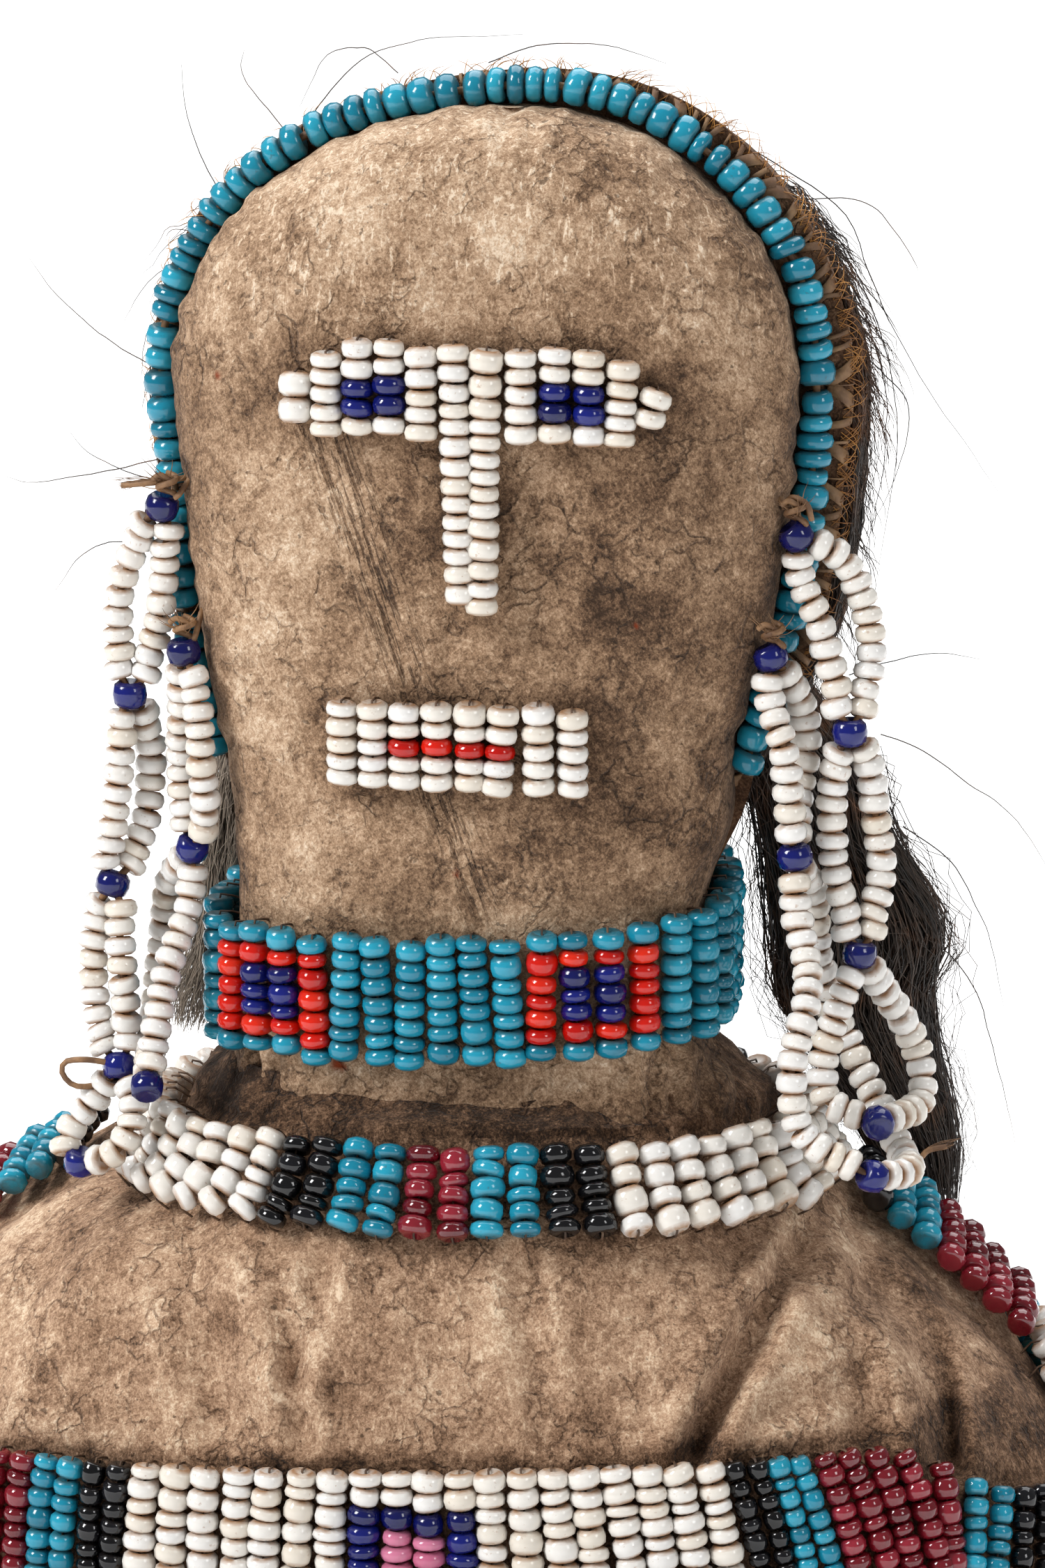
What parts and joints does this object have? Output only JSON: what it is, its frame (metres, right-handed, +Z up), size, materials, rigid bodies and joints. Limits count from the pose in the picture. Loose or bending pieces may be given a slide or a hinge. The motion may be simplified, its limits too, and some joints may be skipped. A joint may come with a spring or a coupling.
{
  "type": "beaded hide doll bust",
  "caption": "Head, neck and shoulders of a beaded, stuffed hide doll, cut flat below, with bead face, bead choker, bead ear strands and horsehair.",
  "frame": {"origin": "middle of the flat cut face under the shoulders", "axes": "+Z up through the head, -Y is where the face looks, +X is the viewer's right"},
  "size_m": [0.088, 0.0453, 0.0956],
  "materials": {
    "face_hide": "napped smoked hide, dusty",
    "back_hide": "dark smoked hide with sinew stitches",
    "dress_hide": "napped smoked hide, mottled",
    "turquoise_beads": "opaque glass, glossy",
    "white_beads": "opaque glass, glossy, brown dust between beads",
    "burgundy_beads": "clear dark red glass, glossy",
    "horsehair": "dark hair with a dull shine",
    "grey_hair": "dusty grey-brown hair"
  },
  "bodies": {
    "root": {"head_front": "face_hide", "head_back": "back_hide", "dress_yoke": "dress_hide", "edge_bead_string": "turquoise_beads", "eye_left_beads": "white_beads", "eye_right_beads": "white_beads", "nose_beads": "white_beads", "mouth_beads": "white_beads", "choker_beads": "turquoise_beads", "neckline_lane": "white_beads", "chest_lane": "white_beads", "shoulder_lane_left": "burgundy_beads", "shoulder_lane_right": "burgundy_beads", "earring_left_outer": "white_beads", "earring_left_inner": "white_beads", "earring_right_outer": "white_beads", "earring_right_inner": "white_beads", "hair_back": "horsehair", "hair_lock_left": "grey_hair", "hair_lock_right": "horsehair"}
  },
  "joints": []
}
